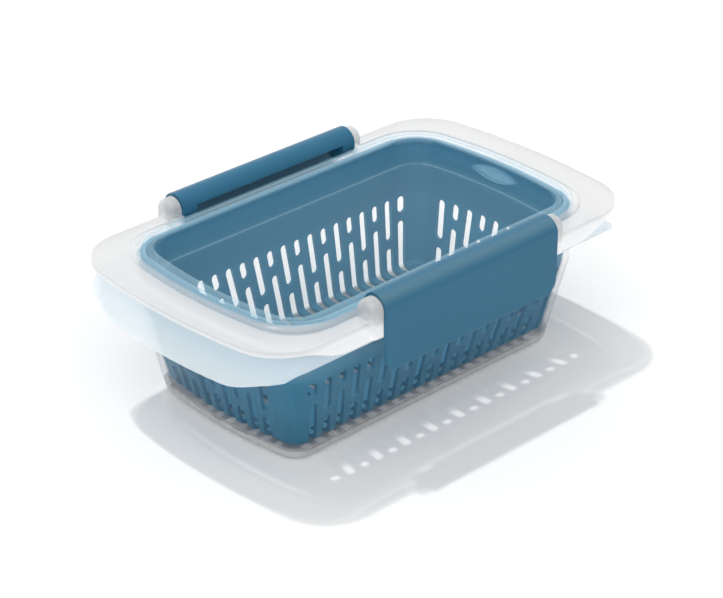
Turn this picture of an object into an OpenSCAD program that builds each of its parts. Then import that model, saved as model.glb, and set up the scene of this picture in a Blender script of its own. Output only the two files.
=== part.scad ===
// Storage container with a lift-out colander and a lid held by two hinged latches.
// Origin: centre of the base, on the surface that it stands on. X is the length, -Y the front.
// Walls are drawn as profiles of (offset, height), where offset is measured outwards from the mouth
// line: the outside of the container wall at its rim, seen from above.

/* [Container] */
// Length over the container wall at its rim
mouth_length = 149.5; // [130:0.5:180]
// Width over the container wall at its rim
mouth_width = 88.9; // [76:0.1:110]
// Corner radius of the mouth line
mouth_corner = 17; // [14:0.5:22]
// Radius of the slow bow of the short ends
mouth_end_radius = 190; // [120:5:400]
// Height of the container's rim
rim_height = 47; // [40:0.5:60]
// Height of the knee, where the leaning lower wall meets the steeper upper wall
knee_height = 33; // [30:0.5:38]
// How far each wall leans in from the knee down to the base
wall_lean = 8; // [4:0.5:9]
// How far each wall leans in from the rim down to the knee
upper_lean = 1; // [0.4:0.1:2]
// Thickness of the container wall
container_wall = 1.7; // [1.2:0.1:2.4]
// Thickness of the container floor
container_floor = 2; // [1.4:0.1:3]
// Rounding of the outside bottom edge
base_rounding = 3; // [2.2:0.1:4]
// Rounding of the inside bottom edge
inner_rounding = 1.9; // [1:0.1:2.4]

/* [Container flange] */
// How far the curled ends reach past the mouth line
flange_end = 14.3; // [11:0.1:18]
// How far the flat sides reach past the mouth line
flange_side = 6; // [5.4:0.1:9]
// Corner radius of the flange
flange_corner = 16; // [12:0.5:20]
// Radius of the bow of the flange ends
flange_end_radius = 220; // [120:5:400]
// Thickness of the flange
flange_thick = 1.8; // [1.4:0.1:2.4]
// Radius of the curl at the ends, on its top face
curl_radius = 10.9; // [9:0.1:14]
// Depth of the curled edge below the rim
curl_drop = 9.3; // [7:0.1:11]
// How far in from the long sides the curled edge starts to rise
curl_rise = 25; // [18:1:30]
// Share of its depth by which the curled edge rises towards the corners
curl_lift = 0.77; // [0.5:0.01:0.95]
// Width of the flat seat for the seal, outwards from the mouth line
seat_width = 3.2; // [3:0.1:3.6]

/* [Colander] */
// Thickness of the colander wall
colander_wall = 1.4; // [1.2:0.1:2]
// Thickness of the colander floor
colander_floor = 1.6; // [1.2:0.1:2.4]
// Gap between the container wall and the colander
colander_gap = 0.6; // [0.4:0.1:1]
// Space under the colander for drips
drip_space = 2.5; // [1.5:0.1:6]
// How far the collar stands above the rim
collar_height = 7.5; // [6:0.1:9]
// Thickness of the shoulder that hangs on the rim
shoulder_thick = 1.4; // [1:0.1:1.8]
// How far the shoulder's edge lies inside the mouth line
shoulder_inset = 0.2; // [0.1:0.1:0.6]
// Rounding of the colander's bottom edge
colander_rounding = 3.6; // [2.6:0.1:5]
// Rounding of the colander's inside bottom edge
basket_rounding = 2.4; // [1:0.1:2.6]

/* [Slots] */
// Width of a slot
slot_width = 3.4; // [2:0.1:3.6]
// Spacing of the columns at their tops
slot_pitch = 6.6; // [5.5:0.1:7]
// Columns on each side of the middle one of a long wall
long_columns = 9; // [4:1:9]
// Columns on each side of the middle one of a short wall
short_columns = 4; // [2:1:4]
// Depth of the top of every column below the rim
slot_drop = 15; // [10:0.5:17]
// Length of the short slot that tops every other column
slot_short = 6.2; // [5:0.1:8]
// Length of the long slot that tops the columns between
slot_long = 14.8; // [12:0.1:17]
// Bridge between the two slots of a column
slot_bridge = 3; // [2:0.1:4]
// How far the columns run in over the floor
floor_reach = 4.4; // [3:0.1:6]
// Length of the middle row of floor slots
floor_slot = 26; // [10:1:30]

/* [Lid] */
// How far the lid's ends reach past the mouth line
lid_end = 14.1; // [11:0.1:18]
// How far the lid's sides reach past the mouth line
lid_side = 8.4; // [7.6:0.1:12]
// Corner radius of the lid
lid_corner = 20; // [14:0.5:24]
// Radius of the bow of the lid's ends
lid_end_radius = 260; // [110:5:400]
// Thickness of the lid's walls
lid_wall = 1.5; // [1.2:0.1:2]
// Thickness of the neck round the colander's collar
neck_thick = 1.2; // [1:0.1:1.4]
// Gap between the collar and the neck
neck_gap = 0.4; // [0.3:0.1:0.5]
// Gap between the collar's top and the lid
collar_gap = 0.2; // [0.1:0.1:0.5]
// Thickness of the foot that holds the seal
foot_thick = 1.3; // [1:0.1:1.6]
// Depth of the recess in the lid
recess_depth = 9.4; // [6:0.1:10]
// How far the top edge of the recess lies inside the mouth line
recess_inset = 6.2; // [5.8:0.1:7.6]
// How far the recess wall leans in over its depth
recess_lean = 1.1; // [0.5:0.1:2]
// Rounding at the bottom of the recess
recess_rounding = 1.6; // [1:0.1:3]
// Thickness of the flat wing round the lid
wing_thick = 2; // [1.4:0.1:2.6]
// Step from the ring round the recess down to the wing
wing_step = 1.4; // [0.8:0.1:2]
// Width of the rounded shoulder outside the ring
shoulder_width = 2.4; // [2:0.1:4]
// How far the deep part of the skirt runs past the ears
skirt_past = 9.2; // [3:0.2:10]
// Distance over which the skirt's lower edge rises
skirt_rise = 20; // [14:1:24]
// Gap between the skirt and the container flange
skirt_gap = 0.5; // [0.3:0.1:1.5]
// Length of the plain oval pad in the recess
pad_length = 22; // [12:1:30]
// Height of the plain oval pad
pad_height = 4.6; // [3:0.1:6]
// Thickness of the plain oval pad
pad_thick = 0.4; // [0.2:0.1:0.8]

/* [Seal] */
// Thickness of the pressed seal
seal_thick = 1.4; // [1:0.1:2]
// Width of the seal
seal_width = 2.6; // [2:0.1:2.8]
// How far the seal's inner edge lies outside the mouth line
seal_inner = 0.3; // [0.2:0.1:0.4]
// Gap between the seal and the container flange
seal_gap = 0.1; // [0.1:0.05:0.3]

/* [Latches] */
// Length of a latch
latch_length = 82; // [60:1:90]
// Outside radius of a latch's roll
roll_radius = 5.4; // [4.8:0.1:5.6]
// Gap between the roll and the lid
roll_gap = 0.8; // [0.4:0.1:1]
// Height of the hinge axis above the lid's ring
axis_rise = 1.2; // [-0.2:0.1:1.5]
// Gap between a latch's flap and the lid
flap_gap = 1.2; // [0.8:0.1:1.6]
// Thickness of a latch's flap and roll
latch_wall = 2; // [1.6:0.1:2.6]
// How far the flap hangs below the hinge axis
flap_drop = 22.7; // [17:0.1:26]
// Radius of the flap's lower corners
flap_corner = 6; // [3:0.5:9]
// Length of the solid end of the roll
knuckle_length = 6; // [5:0.5:9]
// How far round the roll closes over, past its outer side
roll_angle = 168; // [120:2:174]
// Reach of the hook under the container flange
hook_reach = 1.5; // [1:0.1:2]
// Gap between the hook and the container flange
hook_gap = 0.2; // [0.2:0.05:0.4]
// Thickness of the hook
hook_thick = 1.6; // [1.2:0.1:2.4]
// Length of the hook
hook_length = 60; // [30:1:68]
// Radius of a hinge pin
pin_radius = 1.6; // [1.2:0.05:2]
// Length of a hinge pin
pin_length = 2.6; // [2:0.1:3]
// Gap past the end of a hinge pin
pin_end_gap = 0.4; // [0.2:0.1:0.6]
// Running clearance round a hinge pin
pin_clearance = 0.06; // [0.03:0.01:0.1]
// Thickness of an ear
ear_thick = 4.5; // [4:0.1:6]
// Gap between a latch and its ears
ear_gap = 0.3; // [0.2:0.05:0.5]
// How much smaller the ears are than the roll
ear_step = 1; // [0.3:0.1:1.6]
// Rounding of the ears' outer edge
ear_rounding = 2; // [1:0.1:2]

/* [Hidden] */
$fn = 96;
// Longer than anything here, and how far a cut runs past the face it leaves by
far = 200;
past = 1;
// Straight steps in the rounding of a leaning wall's bottom edge, and in the skirt's rising edge
rounding_steps = 5;
rise_steps = 8;
// Angle by which the bowed ends stop short of the corners, so that no two faces only just touch
end_trim = 0.3;

// Plan outlines: half length, half width, corner radius, end radius
mouth = [mouth_length / 2, mouth_width / 2, mouth_corner, mouth_end_radius];
flange = [mouth[0] + flange_end, mouth[1] + flange_side, flange_corner, flange_end_radius];
lid_edge = [mouth[0] + lid_end, mouth[1] + lid_side, lid_corner, lid_end_radius];
function grown(plan, by) = [for (size = plan) size + by];
function end_centre(plan) = plan[0] - plan[3];
function corner_y(plan) = plan[1] - plan[2];
function corner_angle(plan) = asin(corner_y(plan) / (plan[3] - plan[2]));
function end_angle(plan) = corner_angle(plan) - end_trim;
function corner_x(plan) = end_centre(plan) + (plan[3] - plan[2]) * cos(corner_angle(plan));

// Walls: a wall is a line, offset = foot + slope * height; the container's and the colander's have a knee
wall_slope = wall_lean / knee_height;
upper_slope = upper_lean / (rim_height - knee_height);
container_foot = -wall_lean - upper_lean;
colander_foot = container_foot - container_wall - colander_gap;
colander_inner_foot = colander_foot - colander_wall;
colander_bottom = container_floor + drip_space;
slot_top = rim_height - slot_drop;
floor_pitch = slot_pitch * (1 - wall_slope * (slot_top - colander_bottom) / mouth[0]);
collar_top = rim_height + collar_height;
flange_under = rim_height - flange_thick;
flange_lap = 3 * curl_radius;
curl_low = rim_height - curl_drop;
curl_high = curl_low + curl_lift * (curl_drop - flange_thick);

// Lid levels, upwards
seal_bottom = rim_height + seal_gap;
lid_foot = seal_bottom + seal_thick;
lid_foot_top = lid_foot + foot_thick;
ring_under = collar_top + collar_gap;
ring_top = ring_under + lid_wall;
wing_top = ring_top - wing_step;
recess_floor = ring_top - recess_depth;
recess_slope = recess_lean / recess_depth;
recess_foot = -recess_inset - recess_slope * ring_top;
skirt_bottom = rim_height + skirt_gap;
collar_top_offset = colander_foot + wall_lean + upper_slope * (collar_top - knee_height);
neck_inner = collar_top_offset + neck_gap;
neck_outer = neck_inner + neck_thick;

// Hinges
axis_y = mouth[1] + neck_outer + roll_gap + roll_radius;
axis_z = ring_top + axis_rise;
flap_bottom = axis_z - flap_drop;
flap_outer = axis_y + roll_radius;
flap_inner = flap_outer - latch_wall;
ear_radius = roll_radius - ear_step;
ear_inner = latch_length / 2 + ear_gap;
pocket_edge = flap_inner - flap_gap;
skirt_flat = ear_inner + ear_thick + skirt_past;
bore_depth = pin_length + pin_end_gap;
hook_top = flange_under - hook_gap;
hook_tip = flange[1] - hook_reach;

// Rounded rectangle with bowed short ends
module plan_shape(plan) {
    side_x = corner_x(plan);
    end_half = plan[3] * sin(end_angle(plan));
    square([2 * side_x, 2 * plan[1]], center = true);
    for (sx = [-1, 1], sy = [-1, 1])
        translate([sx * side_x, sy * corner_y(plan)]) circle(plan[2]);
    intersection() {
        translate([end_centre(plan), 0]) circle(plan[3]);
        translate([-end_centre(plan), 0]) circle(plan[3]);
        square([2 * plan[0] + past, 2 * end_half], center = true);
    }
}

// Half section of a cup: everything inside a leaning wall, with a bottom edge rounded in short steps
// and, where asked for, the knee. It reaches inwards from the mouth line to the axis or middle plane
// that it is carried about.
module cup_section(foot, slope, bottom, top, rounding, reach, knee) {
    lean = atan(slope);
    bend = foot + slope * knee_height;
    wall = knee ? [[bend, knee_height], [bend + upper_slope * (top - knee_height), top]]
                : [[foot + slope * top, top]];
    centre = foot + slope * (bottom + rounding) - rounding / cos(lean);
    step = (90 - lean) / rounding_steps;
    polygon(concat([[-reach, top], [-reach, bottom]],
        [for (i = [0 : rounding_steps])
            [centre + rounding * sin(i * step), bottom + rounding - rounding * cos(i * step)]],
        wall));
}

// Solid cup on the mouth line: bowed ends, round corners and straight sides
module cup(foot, slope, bottom, top, rounding, knee = false) {
    turn = end_angle(mouth);
    side_x = corner_x(mouth);
    start = -end_centre(mouth) - mouth_corner;
    for (mx = [0, 1]) mirror([mx, 0, 0]) {
        translate([end_centre(mouth), 0, 0]) intersection() {
            rotate_extrude() translate([mouth[3], 0])
                cup_section(foot, slope, bottom, top, rounding, mouth[3], knee);
            linear_extrude(far) polygon([for (p = [[start, -1], [2 * far, -1], [2 * far, 1], [start, 1]])
                                         [p[0], p[0] * p[1] * tan(turn)]]);
        }
        for (my = [0, 1]) mirror([0, my, 0]) translate([side_x, corner_y(mouth), 0])
            rotate_extrude() translate([mouth[2], 0])
                cup_section(foot, slope, bottom, top, rounding, mouth[2], knee);
    }
    for (my = [0, 1]) mirror([0, my, 0]) translate([-side_x, 0, 0]) rotate([90, 0, 90])
        linear_extrude(2 * side_x) translate([mouth[1], 0])
            cup_section(foot, slope, bottom, top, rounding, mouth[1], knee);
}

// Upright plate or ring on the mouth line, between two offsets; no inner offset makes it whole
module band(outer, bottom, top, inner = undef) {
    translate([0, 0, bottom]) linear_extrude(top - bottom) difference() {
        plan_shape(grown(mouth, outer));
        if (inner != undef) plan_shape(grown(mouth, inner));
    }
}

// Bar with round ends, from one height or place to another
module slot_shape(low, high) {
    round_end = slot_width / 2;
    translate([-round_end, low + round_end]) square([slot_width, high - low - slot_width]);
    for (y = [low + round_end, high - round_end]) translate([0, y]) circle(round_end);
}

// Everything above an edge that runs level, then rises in a soft wave and runs level again
module above_rising_edge(flat, run, low, high, top) {
    wave = [for (i = [0 : rise_steps])
        [flat + run * i / rise_steps, low + (high - low) * (1 - cos(180 * i / rise_steps)) / 2]];
    polygon(concat([[0, top], [0, low]], wave, [[flat + run, top]]));
}

// Section of one end of the flange, measured from the middle of its bow: level, then curled down
module flange_section() {
    curl_start = flange[3] - curl_radius;
    translate([curl_start - flange_lap, flange_under]) square([flange_lap, flange_thick]);
    intersection() {
        translate([curl_start, rim_height - curl_radius]) difference() {
            circle(curl_radius);
            circle(curl_radius - flange_thick);
        }
        translate([curl_start, curl_low - (curl_radius - curl_drop) / 2]) square([curl_radius + past, curl_radius]);
    }
}

// Flange: level in the middle, with curled ends that follow the bow of its plan and a lower edge that
// rises towards the corners
module flange_plate() {
    intersection() {
        union() {
            translate([0, 0, flange_under]) linear_extrude(flange_thick)
                square([2 * (flange[0] - flange_lap), 2 * flange[1] + past], center = true);
            for (mx = [0, 1]) mirror([mx, 0, 0]) translate([end_centre(flange), 0, 0])
                rotate_extrude() flange_section();
        }
        rotate([90, 0, 90]) linear_extrude(2 * far, center = true)
            for (m = [0, 1]) mirror([m, 0])
                above_rising_edge(flange[1] + past - curl_rise, curl_rise, curl_low, curl_high, rim_height + past);
        linear_extrude(far) plan_shape(flange);
    }
}

module container() {
    color([0.93, 0.95, 0.96, 0.5]) difference() {
        union() {
            cup(container_foot, wall_slope, 0, rim_height, base_rounding, knee = true);
            band(seat_width, flange_under, rim_height);
            flange_plate();
        }
        cup(container_foot - container_wall, wall_slope, container_floor, rim_height + past,
            inner_rounding, knee = true);
    }
}

// One column of two slots. Columns that start long and columns that start short take turns, and they
// lean like the walls beside them, so that they draw together towards the floor.
module slot_column(index, fan) {
    place = index * slot_pitch;
    first = index % 2 == 0 ? slot_long : slot_short;
    translate([place, slot_top]) rotate(-atan(place * fan)) {
        slot_shape(-first, 0);
        slot_shape(-slot_top - slot_width, -first - slot_bridge);
    }
}

// The slots of the wall on the +Y side of a box with the given half width and half length
module wall_slots(half, spread, columns) {
    wall_start = half + colander_inner_foot + wall_slope * colander_bottom - floor_reach;
    for (index = [-columns : columns])
        translate([0, far, 0]) rotate([90, 0, 0]) linear_extrude(far - wall_start)
            slot_column(index, wall_slope / spread);
}

module colander() {
    color([0.25, 0.45, 0.57]) difference() {
        union() {
            cup(colander_foot, wall_slope, colander_bottom, collar_top, colander_rounding, knee = true);
            band(-shoulder_inset, rim_height, rim_height + shoulder_thick);
        }
        cup(colander_inner_foot, wall_slope, colander_bottom + colander_floor, collar_top + past,
            basket_rounding, knee = true);
        for (turn = [0, 180]) rotate([0, 0, turn]) {
            wall_slots(mouth[1], mouth[0], long_columns);
            rotate([0, 0, -90]) wall_slots(mouth[0], mouth[1], short_columns);
        }
        for (index = [1 - long_columns : long_columns - 1])
            translate([index * floor_pitch, 0, 0])
                linear_extrude(colander_bottom + colander_floor + past)
                    slot_shape(-floor_slot / 2, floor_slot / 2);
    }
}

// Outer half of an ear's section about the hinge axis: (radius, distance along the axis)
module ear_section() {
    square([ear_radius, ear_thick - ear_rounding]);
    square([ear_radius - ear_rounding, ear_thick]);
    translate([ear_radius - ear_rounding, ear_thick - ear_rounding]) circle(ear_rounding);
}

// Ear on the +X +Y side, standing on the lid
module ear() {
    translate([ear_inner, axis_y, axis_z]) rotate([0, 90, 0]) rotate_extrude() ear_section();
    translate([ear_inner, axis_y, lid_foot]) linear_extrude(axis_z - lid_foot)
        for (m = [0, 1]) mirror([0, m]) rotate([0, 0, 90]) mirror([0, 1]) ear_section();
}

// Blind bore for a latch's pin in the ear on the +X +Y side
module ear_bore() {
    translate([ear_inner - past, axis_y, axis_z]) rotate([0, 90, 0])
        cylinder(h = bore_depth + past, r = pin_radius + pin_clearance);
}

// Flat wing, the shoulder that rises from it to the ring, and the skirts along the latch sides
module lid_wing() {
    translate([0, 0, wing_top - wing_thick]) linear_extrude(wing_thick) plan_shape(lid_edge);
    translate([0, 0, ring_top]) mirror([0, 0, 1])
        cup(neck_outer + shoulder_width, 0, 0, wing_step + wing_thick / 2, wing_step);
    intersection() {
        rotate([90, 0, 0]) linear_extrude(2 * lid_edge[1], center = true)
            for (m = [0, 1]) mirror([m, 0])
                above_rising_edge(skirt_flat, skirt_rise, skirt_bottom, wing_top - wing_thick, wing_top);
        linear_extrude(far) difference() {
            plan_shape(lid_edge);
            plan_shape(grown(lid_edge, -lid_wall));
        }
    }
}

// Room for one latch, on the +Y side
module latch_room() {
    clear_y = mouth[1] + neck_outer;
    translate([-ear_inner, clear_y, lid_foot_top]) cube([2 * ear_inner, far, far]);
    translate([-ear_inner, pocket_edge, 0]) cube([2 * ear_inner, far, far]);
}

// Lid without its recess: wing, skirts, neck, foot and ring, with room for the latches
module lid_body() {
    difference() {
        union() {
            lid_wing();
            band(neck_outer, lid_foot, ring_top);
            band(seat_width, lid_foot, lid_foot_top);
            for (my = [0, 1]) mirror([0, my, 0]) translate([-ear_inner, 0, lid_foot])
                cube([2 * ear_inner, pocket_edge, lid_foot_top - lid_foot]);
        }
        band(neck_inner, 0, ring_under);
        for (my = [0, 1]) mirror([0, my, 0]) latch_room();
    }
}

module lid() {
    color([0.95, 0.96, 0.97, 0.45]) difference() {
        union() {
            difference() {
                union() {
                    lid_body();
                    cup(recess_foot + lid_wall, recess_slope, recess_floor - lid_wall,
                        ring_under + lid_wall / 2, recess_rounding + lid_wall);
                }
                cup(recess_foot, recess_slope, recess_floor, ring_top + past, recess_rounding);
            }
            for (mx = [0, 1], my = [0, 1]) mirror([mx, 0, 0]) mirror([0, my, 0]) ear();
            oval_pad();
        }
        for (mx = [0, 1], my = [0, 1]) mirror([mx, 0, 0]) mirror([0, my, 0]) ear_bore();
    }
}

// Plain lens-shaped pad in the middle of the recess wall at the +X end
module oval_pad() {
    lens = (pad_length * pad_length + pad_height * pad_height) / (4 * pad_height);
    pad_z = (ring_top + recess_floor) / 2;
    wall_x = mouth[0] + recess_foot + recess_slope * pad_z;
    translate([wall_x, 0, pad_z]) rotate([0, -90 + atan(recess_slope), 0])
        translate([0, 0, -lid_wall / 2]) linear_extrude(lid_wall / 2 + pad_thick) intersection() {
            translate([lens - pad_height / 2, 0]) circle(lens);
            translate([pad_height / 2 - lens, 0]) circle(lens);
        }
}

module lid_seal() {
    color([0.85, 0.88, 0.9]) band(seal_inner + seal_width, seal_bottom, lid_foot, seal_inner);
}

// Section of a latch between its knuckles: flap and part roll, about the hinge axis
module latch_section() {
    difference() {
        union() {
            circle(roll_radius);
            translate([roll_radius - latch_wall, flap_bottom - axis_z + latch_wall / 2])
                square([latch_wall, axis_z - flap_bottom - latch_wall / 2]);
            translate([roll_radius - latch_wall / 2, flap_bottom - axis_z + latch_wall / 2])
                circle(latch_wall / 2);
        }
        circle(roll_radius - latch_wall);
        rotate(roll_angle) square([far, roll_radius + past]);
        polygon([[0, 0], [roll_radius - latch_wall, 0], [roll_radius - latch_wall, -roll_radius],
                 [-roll_radius - past, -roll_radius], [-roll_radius - past, 0]]);
    }
}

module hook_section() {
    back = flap_inner - axis_y;
    tip = hook_tip - axis_y;
    top = hook_top - axis_z;
    polygon([[back + latch_wall / 2, top], [tip, top], [tip + hook_thick / 4, top - hook_thick],
             [back + latch_wall / 2, top - 2 * hook_thick]]);
}

// Outline of a latch seen from its front, with round lower corners
module latch_front() {
    half = latch_length / 2;
    low = flap_bottom - axis_z;
    translate([-half, low + flap_corner]) square([latch_length, roll_radius - low - flap_corner]);
    translate([flap_corner - half, low]) square([latch_length - 2 * flap_corner, flap_corner]);
    for (sx = [-1, 1]) translate([sx * (half - flap_corner), low + flap_corner]) circle(flap_corner);
}

// A latch on the +Y side, about its hinge axis
module latch() {
    half = latch_length / 2;
    translate([0, axis_y, axis_z]) {
        intersection() {
            translate([-half, 0, 0]) rotate([90, 0, 90]) linear_extrude(latch_length) latch_section();
            rotate([90, 0, 0]) linear_extrude(far, center = true) latch_front();
        }
        translate([-hook_length / 2, 0, 0]) rotate([90, 0, 90]) linear_extrude(hook_length) hook_section();
        for (mx = [0, 1]) mirror([mx, 0, 0]) translate([half - knuckle_length, 0, 0]) rotate([0, 90, 0]) {
            cylinder(h = knuckle_length, r = roll_radius);
            cylinder(h = knuckle_length + ear_gap + pin_length, r = pin_radius);
        }
    }
}

module rear_latch() {
    color([0.25, 0.42, 0.53]) latch();
}

module front_latch() {
    color([0.25, 0.42, 0.53]) rotate([0, 0, 180]) latch();
}

container();
colander();
lid();
lid_seal();
front_latch();
rear_latch();
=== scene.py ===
from math import radians, sin, cos
import bpy
import bmesh
from mathutils import Matrix, Vector


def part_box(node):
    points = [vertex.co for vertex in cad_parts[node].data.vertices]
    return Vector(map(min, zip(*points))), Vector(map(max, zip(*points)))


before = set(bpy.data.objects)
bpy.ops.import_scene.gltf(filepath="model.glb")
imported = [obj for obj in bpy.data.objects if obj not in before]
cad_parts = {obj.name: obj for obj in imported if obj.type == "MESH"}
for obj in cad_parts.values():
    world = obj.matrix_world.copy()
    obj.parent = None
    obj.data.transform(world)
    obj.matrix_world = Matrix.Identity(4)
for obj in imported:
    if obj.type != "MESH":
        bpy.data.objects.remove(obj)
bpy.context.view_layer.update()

scene = bpy.context.scene
scene.view_settings.view_transform = "Standard"
scene.cycles.transparent_max_bounces = 32     # the clear walls lie many layers deep
print("frame loaded:", sorted(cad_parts))


# node helpers, kept small so that each finish below reads as its own list of nodes
def newMaterial(name):
    material = bpy.data.materials.new(name)
    material.use_nodes = True
    tree = material.node_tree
    return material, tree, tree.nodes["Principled BSDF"]


def addNode(tree, kind, **values):
    node = tree.nodes.new(kind)
    for key, value in values.items():
        setattr(node, key, value)
    return node


def wire(tree, source, target):
    tree.links.new(source, target)


def calc(tree, operation, *terms):
    # one Math node; a term is an output to link or a plain number
    node = addNode(tree, "ShaderNodeMath", operation=operation)
    for socket, term in zip(node.inputs, terms):
        if isinstance(term, (int, float)):
            socket.default_value = term
        else:
            wire(tree, term, socket)
    return node.outputs[0]


def rampOver(tree, source, stops):
    # colours or grey values laid out along a length, in millimetres
    low, high = stops[0][0], stops[-1][0]
    span = addNode(tree, "ShaderNodeMapRange")
    span.inputs["From Min"].default_value = low / 1000
    span.inputs["From Max"].default_value = high / 1000
    wire(tree, source, span.inputs["Value"])
    ramp = addNode(tree, "ShaderNodeValToRGB")
    elements = ramp.color_ramp.elements
    for _ in stops[2:]:
        elements.new(0.5)
    for element, (place, shade) in zip(elements, stops):
        element.position = (place - low) / (high - low)
        element.color = (shade, shade, shade, 1) if isinstance(shade, float) else shade
    wire(tree, span.outputs["Result"], ramp.inputs["Fac"])
    return ramp.outputs["Color"]


def dressNode(nodeName, material):
    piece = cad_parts[nodeName]
    piece.data.materials.clear()
    piece.data.materials.append(material)
    return piece


def softenEdges(piece, s):
    # moulded edges are never sharp
    weld = piece.modifiers.new("weld", "WELD")
    weld.merge_threshold = s["weldGap"]
    bevel = piece.modifiers.new("bevel", "BEVEL")
    bevel.limit_method = "ANGLE"
    bevel.angle_limit = radians(s["sharpAngle"])
    bevel.width = s["width"]
    bevel.segments = s["steps"]
    piece.modifiers.new("normals", "WEIGHTED_NORMAL")


# camera: same place, lens and framing as the photograph, which is 723 x 598
cameraSettings = {
    "azimuth": -43.676,       # degrees, 0 looks along +Y
    "elevation": 28.161,
    "distance": 0.8641,
    "target": (0, 0, 0.0312),
    "focalPixels": 2455.4,
    "centre": (358.86, 284.79),
    "frame": (723, 598),
    "sensor": 36,             # millimetres
    "nearest": 0.01,
}


def makeCamera(s):
    az, el = radians(s["azimuth"]), radians(s["elevation"])
    back = Vector((sin(az) * cos(el), -cos(az) * cos(el), sin(el)))
    right = Vector((cos(az), sin(az), 0))
    up = back.cross(right)
    data = bpy.data.cameras.new("camera")
    data.sensor_fit = "HORIZONTAL"
    data.sensor_width = s["sensor"]
    width, height = s["frame"]
    data.lens = s["focalPixels"] / width * data.sensor_width
    data.shift_x = (width / 2 - s["centre"][0]) / width
    data.shift_y = (s["centre"][1] - height / 2) / width
    data.clip_start = s["nearest"]
    camera = bpy.data.objects.new("camera", data)
    scene.collection.objects.link(camera)
    turn = Matrix((right, up, back)).transposed().to_4x4()
    camera.matrix_world = Matrix.Translation(Vector(s["target"]) + s["distance"] * back) @ turn
    scene.camera = camera


makeCamera(cameraSettings)
print("camera set")


# effects that several finishes share
def openGroup(name, sockets):
    group = bpy.data.node_groups.new(name, "ShaderNodeTree")
    for way, names in sockets.items():
        for socket in names:
            group.interface.new_socket(socket, in_out=way, socket_type="NodeSocketFloat")
    inputs = addNode(group, "NodeGroupInput")
    outputs = addNode(group, "NodeGroupOutput")
    place = addNode(group, "ShaderNodeTexCoord")
    return group, inputs.outputs, outputs.inputs, place.outputs["Object"]


def mouldGrainGroup():
    # fine texture of a moulded face, and a slow change across it
    sockets = {"INPUT": ("Grain size", "Drift size"), "OUTPUT": ("Height", "Drift")}
    group, given, wanted, place = openGroup("mouldGrain", sockets)
    for size, result, detail in (("Grain size", "Height", 3), ("Drift size", "Drift", 2)):
        noise = addNode(group, "ShaderNodeTexNoise")
        noise.inputs["Detail"].default_value = detail
        wire(group, place, noise.inputs["Vector"])
        wire(group, given[size], noise.inputs["Scale"])
        wire(group, noise.outputs["Fac"], wanted[result])
    return group


def rimDistanceGroup():
    # how far a point lies outside the rim line, seen from above, how high it is, and its |X|
    sockets = {"INPUT": ("Half length", "Half width", "Corner", "Bow"),
               "OUTPUT": ("Distance", "Height", "Length")}
    group, given, wanted, place = openGroup("rimDistance", sockets)
    parts = addNode(group, "ShaderNodeSeparateXYZ")
    wire(group, place, parts.inputs[0])
    length = calc(group, "ABSOLUTE", parts.outputs["X"])
    across = calc(group, "ABSOLUTE", parts.outputs["Y"])
    diameter = calc(group, "MULTIPLY", given["Bow"], 2.0)
    sag = calc(group, "DIVIDE", calc(group, "POWER", across, 2.0), diameter)      # the ends bow outwards
    along = calc(group, "ADD", length, sag)
    past = []
    for far, half in ((along, "Half length"), (across, "Half width")):
        straight = calc(group, "SUBTRACT", given[half], given["Corner"])
        past.append(calc(group, "SUBTRACT", far, straight))
    squares = [calc(group, "POWER", calc(group, "MAXIMUM", p, 0.0), 2.0) for p in past]
    outside = calc(group, "SQRT", calc(group, "ADD", *squares))
    inside = calc(group, "MINIMUM", calc(group, "MAXIMUM", *past), 0.0)
    reach = calc(group, "ADD", outside, inside)
    wire(group, calc(group, "SUBTRACT", reach, given["Corner"]), wanted["Distance"])
    wire(group, parts.outputs["Z"], wanted["Height"])
    wire(group, length, wanted["Length"])
    return group


def ovalMaskGroup():
    # 1 inside the lens-shaped pad on the recess wall at the +X end
    sockets = {"INPUT": ("Half length", "Half height", "Level"), "OUTPUT": ("Mask",)}
    group, given, wanted, place = openGroup("ovalMask", sockets)
    parts = addNode(group, "ShaderNodeSeparateXYZ")
    wire(group, place, parts.inputs[0])
    share = calc(group, "DIVIDE", calc(group, "ABSOLUTE", parts.outputs["Y"]), given["Half length"])
    swell = calc(group, "SUBTRACT", 1.0, calc(group, "POWER", share, 2.0))
    edge = calc(group, "MULTIPLY", swell, given["Half height"])
    rise = calc(group, "ABSOLUTE", calc(group, "SUBTRACT", parts.outputs["Z"], given["Level"]))
    inside = calc(group, "LESS_THAN", rise, edge)
    end = calc(group, "GREATER_THAN", parts.outputs["X"], given["Half length"])
    wire(group, calc(group, "MULTIPLY", inside, end), wanted["Mask"])
    return group


mouldGrain = mouldGrainGroup()
rimDistance = rimDistanceGroup()
ovalMask = ovalMaskGroup()
padOval = {"Half length": 0.011, "Half height": 0.0023, "Level": 0.0515}
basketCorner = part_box("colander")[1]
basketGap = 0.0002                       # the basket's shoulder ends just inside the rim line
rimLine = {"Half length": basketCorner[0] + basketGap, "Half width": basketCorner[1] + basketGap,
           "Corner": 0.017, "Bow": 0.19}


def placeGroup(tree, group, values):
    node = addNode(tree, "ShaderNodeGroup", node_tree=group)
    for name, value in values.items():
        node.inputs[name].default_value = value
    return node.outputs


grainDepth = 0.0001


def addGrain(tree, surface, s):
    # roughness that drifts, and a faint moulded bump
    grain = placeGroup(tree, mouldGrain, {"Grain size": s["grain"], "Drift size": s["drift"]})
    rough = addNode(tree, "ShaderNodeMapRange")
    rough.inputs["To Min"].default_value, rough.inputs["To Max"].default_value = s["roughness"]
    wire(tree, grain["Drift"], rough.inputs["Value"])
    wire(tree, rough.outputs["Result"], surface.inputs["Roughness"])
    bump = addNode(tree, "ShaderNodeBump")
    bump.inputs["Strength"].default_value = s["bump"]
    bump.inputs["Distance"].default_value = grainDepth
    wire(tree, grain["Height"], bump.inputs["Height"])
    wire(tree, bump.outputs["Normal"], surface.inputs["Normal"])
    return grain


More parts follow.
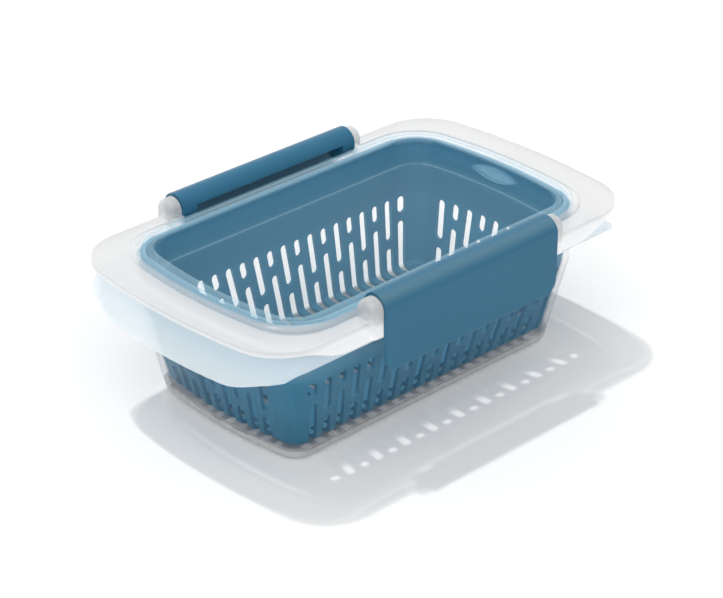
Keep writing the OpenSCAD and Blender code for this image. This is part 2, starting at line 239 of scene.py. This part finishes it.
# satin blue mouldings: colander and latches
colanderFinish = {"deep": (0.040, 0.212, 0.350, 1), "light": (0.050, 0.244, 0.394, 1), "specular": 0.25,
                  "roughness": (0.40, 0.52), "grain": 2600, "drift": 38, "bump": 0.12}
latchFinish = {"deep": (0.025, 0.146, 0.254, 1), "light": (0.032, 0.165, 0.280, 1), "specular": 0.25,
               # painted highlight: a paler colour along the outer top of the roll
               "paintedHighlight": (0.085, 0.205, 0.290, 1),
               "paintedHighlightBand": ((6, 0.0), (8.2, 1.0), (9.6, 1.0), (11.2, 0.0)),
               "roughness": (0.34, 0.44), "grain": 3200, "drift": 30, "bump": 0.10}


def satinBlue(name, s):
    material, tree, surface = newMaterial(name)
    surface.inputs["Specular IOR Level"].default_value = s["specular"]
    grain = addGrain(tree, surface, s)
    shade = addNode(tree, "ShaderNodeMix", data_type="RGBA")
    shade.inputs["A"].default_value = s["deep"]
    shade.inputs["B"].default_value = s["light"]
    wire(tree, grain["Drift"], shade.inputs["Factor"])
    colour = shade.outputs["Result"]
    if "paintedHighlight" in s:
        # painted highlight: paler along the outer top of the roll, in millimetres from the rim line
        rim = placeGroup(tree, rimDistance, rimLine)
        paintedHighlight = addNode(tree, "ShaderNodeMix", data_type="RGBA")
        paintedHighlight.inputs["B"].default_value = s["paintedHighlight"]
        wire(tree, colour, paintedHighlight.inputs["A"])
        wire(tree, rampOver(tree, rim["Distance"], s["paintedHighlightBand"]), paintedHighlight.inputs["Factor"])
        colour = paintedHighlight.outputs["Result"]
    wire(tree, colour, surface.inputs["Base Color"])
    return material


dressNode("colander", satinBlue("satinBlueColander", colanderFinish))
latchBlue = satinBlue("satinBlueLatch", latchFinish)
latchEdges = {"width": 0.00035, "sharpAngle": 40, "steps": 3, "weldGap": 0.000001}
for latchName in ("front_latch", "rear_latch"):
    softenEdges(dressNode(latchName, latchBlue), latchEdges)
print("blue mouldings done")


# clear mouldings: how milky they are changes along the lengths given, in millimetres
# painted light: the blue tints of the clear lid and tub stand in for the blue basket seen through and
# reflected in the plastic
paintedPaleBlue = (0.36, 0.64, 0.80, 1)
paintedRingBlue = (0.50, 0.78, 0.91, 1)
paintedSkyBlue = (0.36, 0.62, 0.76, 1)
windowPaintedGlow = (0.70, 1, 1, 1)
ringPaintedGlow = (0.22, 0.42, 0.52, 1)
milkWhite = (0.67, 0.672, 0.676, 1)
paintedSheenWhite = (0.90, 0.90, 0.90, 1)
footGrey = (0.74, 0.735, 0.74, 1)
paintedShadeBlue = (0.03, 0.11, 0.18, 1)
paintedFlangeBlue = (0.74, 0.82, 0.86, 1)
paintedRimBlue = (0.68, 0.79, 0.86, 1)
sealInner = (0.52, 0.66, 0.74, 1)
sealOuter = (0.62, 0.72, 0.78, 1)
plainWhite = (1, 1, 1, 1)
lidFinish = {
    # outwards from the rim line
    "tint": ((-9, paintedRingBlue), (-7.8, paintedRingBlue), (-7.6, paintedPaleBlue), (-6.6, paintedPaleBlue), (-6.2, paintedRingBlue),
             (-3.2, paintedRingBlue), (-2.8, paintedSkyBlue), (-0.8, paintedSkyBlue), (1.8, milkWhite)),
    "haze": ((-9, 0.012), (-7.8, 0.06), (-0.6, 0.06), (0.6, 0.40), (3, 0.60)),
    "paintedGlowTint": ((-8, windowPaintedGlow), (-6.5, ringPaintedGlow), (-0.4, ringPaintedGlow), (1.6, plainWhite)),
    # painted highlights as lighter lines on the ring's outer wall, the ring's top and round the window:
    # outwards, then upwards
    "paintedEdgeLights": ((((-3.0, 0.0), (-2.6, 0.42), (-1.0, 0.36), (-0.2, 0.0)), ((49, 0.0), (50, 1.0))),
              (((-6.4, 0.0), (-6.1, 0.25), (-3.4, 0.20), (-2.8, 0.0)), ((54.3, 0.0), (54.9, 1.0))),
              (((-9, 0.0), (-8.6, 0.14), (-8.2, 0.14), (-7.8, 0.0)), ((46, 0.0), (46.5, 1.0)))),
    # along X from the middle: clear between the ears
    "polished": ((36, 0.10), (40, 1.0)),
    # upwards; painted glow, strongest low on the skirts
    "paintedGlow": ((46, 0.38), (52.5, 0.34), (54.5, 0.06)),
    "pad": 0.20, "paintedSheen": 0.5, "cast": 0.7,
    "roughness": (0.14, 0.24), "grain": 1800, "drift": 45, "bump": 0.05,
}
tubFinish = {
    # outwards from the rim line
    "haze": ((0.2, 0.0), (3, 0.56)),
    # upwards
    "tintHeight": ((0, footGrey), (4, footGrey), (6, paintedShadeBlue), (33, paintedShadeBlue), (38, paintedFlangeBlue),
                   (47, paintedRimBlue)),
    "height": ((0, 0.58), (3.6, 0.54), (5, 0.012), (30, 0.012), (38, 0.03)),
    # a dark blue veil on the wall's outward face: the clear wall's own dimming and painted shade on the
    # basket behind it
    "outside": ((4, 0.0), (6, 0.17), (31, 0.17), (36, 0.0)),
    "foot": ((0, 0.8), (17.5, 0.75), (20.5, 0.0)),      # the thick foot bends light away
    "paintedGlow": ((34, 0.0), (37, 0.18), (47, 0.10)),
    "paintedSheen": 0.5, "cast": 0.6,
    "roughness": (0.10, 0.20), "grain": 1800, "drift": 45, "bump": 0.05,
}
sealFinish = {
    # outwards from the rim line
    "tint": ((0, sealInner), (3, sealOuter)),
    "haze": ((0, 0.34), (3, 0.42)),
    # upwards
    "paintedGlow": ((46, 0.0), (50, 0.02)),
    "paintedSheen": 0.1, "cast": 0.3,
    "roughness": (0.45, 0.6), "grain": 2400, "drift": 60, "bump": 0.1,
}
clearIor = 1.49
glanceSharpness = 5.0


def seenFromOutside(tree):
    # 1 where a wall faces away from the middle of the part, 0 where it faces inwards
    place = addNode(tree, "ShaderNodeTexCoord")
    outward = addNode(tree, "ShaderNodeVectorMath", operation="DOT_PRODUCT")
    wire(tree, place.outputs["Object"], outward.inputs[0])
    wire(tree, place.outputs["Normal"], outward.inputs[1])
    return calc(tree, "GREATER_THAN", outward.outputs["Value"], 0.0)


def hazyClear(name, s):
    material, tree, surface = newMaterial(name)
    surface.inputs["IOR"].default_value = clearIor
    addGrain(tree, surface, s)
    rim = placeGroup(tree, rimDistance, rimLine)
    if "tint" in s:
        tint = rampOver(tree, rim["Distance"], s["tint"])
    else:
        tint = rampOver(tree, rim["Height"], s["tintHeight"])
    haze = rampOver(tree, rim["Distance"], s["haze"])
    if "height" in s:
        haze = calc(tree, "MAXIMUM", haze, rampOver(tree, rim["Height"], s["height"]))
    if "polished" in s:
        haze = calc(tree, "MINIMUM", haze, rampOver(tree, rim["Length"], s["polished"]))
    for across, upwards in s.get("paintedEdgeLights", ()):
        outer, upper = rampOver(tree, rim["Distance"], across), rampOver(tree, rim["Height"], upwards)
        haze = calc(tree, "MAXIMUM", haze, calc(tree, "MULTIPLY", outer, upper))
    if "pad" in s:
        pad = placeGroup(tree, ovalMask, padOval)["Mask"]
        haze = calc(tree, "ADD", haze, calc(tree, "MULTIPLY", pad, s["pad"]))
    if "outside" in s:
        wall = calc(tree, "MULTIPLY", seenFromOutside(tree), rampOver(tree, rim["Height"], s["outside"]))
        haze = calc(tree, "MAXIMUM", haze, wall)
    # painted reflection: at glancing angles the colour turns white and the plastic more opaque, in place
    # of a reflection of the white surroundings
    facing = addNode(tree, "ShaderNodeLayerWeight")
    glance = calc(tree, "POWER", facing.outputs["Facing"], glanceSharpness)
    paintedSheenMix = addNode(tree, "ShaderNodeMix", data_type="RGBA")
    paintedSheenMix.inputs["B"].default_value = paintedSheenWhite
    wire(tree, tint, paintedSheenMix.inputs["A"])
    wire(tree, glance, paintedSheenMix.inputs["Factor"])
    wire(tree, paintedSheenMix.outputs["Result"], surface.inputs["Base Color"])
    veil = calc(tree, "ADD", haze, calc(tree, "MULTIPLY", glance, s["paintedSheen"]))
    # milky plastic scatters light on, so its shadow is pale
    cast = calc(tree, "MULTIPLY", veil, s["cast"])
    if "foot" in s:
        cast = calc(tree, "MAXIMUM", cast, rampOver(tree, rim["Height"], s["foot"]))
    path = addNode(tree, "ShaderNodeLightPath")
    change = calc(tree, "MULTIPLY", path.outputs["Is Shadow Ray"], calc(tree, "SUBTRACT", cast, veil))
    wire(tree, calc(tree, "ADD", veil, change), surface.inputs["Alpha"])
    surface.inputs["Emission Strength"].default_value = 1       # painted glow: the plastic emits light in place of light scattered inside it
    paintedGlow = rampOver(tree, rim["Height"], s["paintedGlow"])
    if "paintedGlowTint" in s:
        tinted = addNode(tree, "ShaderNodeMix", data_type="RGBA", blend_type="MULTIPLY")
        tinted.inputs["Factor"].default_value = 1
        wire(tree, paintedGlow, tinted.inputs["A"])
        wire(tree, rampOver(tree, rim["Distance"], s["paintedGlowTint"]), tinted.inputs["B"])
        paintedGlow = tinted.outputs["Result"]
    wire(tree, paintedGlow, surface.inputs["Emission Color"])
    return material


dressNode("lid", hazyClear("hazyLid", lidFinish))
dressNode("container", hazyClear("hazyTub", tubFinish))
dressNode("lid_seal", hazyClear("silicone", sealFinish))
print("clear mouldings done")


# floor and light
studio = {
    "floorTint": (0.92, 0.92, 0.92, 1), "floorRoughness": 0.9, "floorHalf": 3,
    "floorTop": 0.06,         # lifts the paper to white where the camera sees it
    "world": 0.50,
    # key from behind, near overhead; fill soft, from the left of the camera
    "key": {"strength": 1.2, "size": 2.2, "azimuth": 180, "tilt": 21.5},
    "fill": {"strength": 0.9, "size": 60, "azimuth": -52, "tilt": 38},
}


def makeStudio(s):
    bm = bmesh.new()
    bmesh.ops.create_grid(bm, x_segments=1, y_segments=1, size=s["floorHalf"])
    mesh = bpy.data.meshes.new("floor")
    bm.to_mesh(mesh)
    bm.free()
    floor = bpy.data.objects.new("floor", mesh)
    scene.collection.objects.link(floor)
    material, tree, surface = newMaterial("palePaper")
    surface.inputs["Base Color"].default_value = s["floorTint"]
    surface.inputs["Roughness"].default_value = s["floorRoughness"]
    surface.inputs["Specular IOR Level"].default_value = 0
    surface.inputs["Emission Color"].default_value = plainWhite
    path = addNode(tree, "ShaderNodeLightPath")
    wire(tree, calc(tree, "MULTIPLY", path.outputs["Is Camera Ray"], s["floorTop"]),
         surface.inputs["Emission Strength"])
    mesh.materials.append(material)
    world = bpy.data.worlds.new("studio")
    scene.world = world
    world.use_nodes = True
    tree = world.node_tree
    back = tree.nodes["Background"]
    back.inputs["Color"].default_value = plainWhite
    path = addNode(tree, "ShaderNodeLightPath")
    seen = addNode(tree, "ShaderNodeMapRange")
    seen.inputs["To Min"].default_value = s["world"]
    seen.inputs["To Max"].default_value = 1
    mirrored = calc(tree, "MAXIMUM", path.outputs["Is Glossy Ray"], path.outputs["Is Transmission Ray"])
    wire(tree, calc(tree, "MAXIMUM", path.outputs["Is Camera Ray"], mirrored), seen.inputs["Value"])
    wire(tree, seen.outputs["Result"], back.inputs["Strength"])
    for name in ("key", "fill"):
        makeSun(name, s[name])


def makeSun(name, s):
    light = bpy.data.lights.new(name, "SUN")
    light.energy = s["strength"]
    light.angle = radians(s["size"])
    lamp = bpy.data.objects.new(name, light)
    lamp.rotation_euler = (radians(s["tilt"]), 0, radians(s["azimuth"]))
    scene.collection.objects.link(lamp)


makeStudio(studio)
print("studio done")
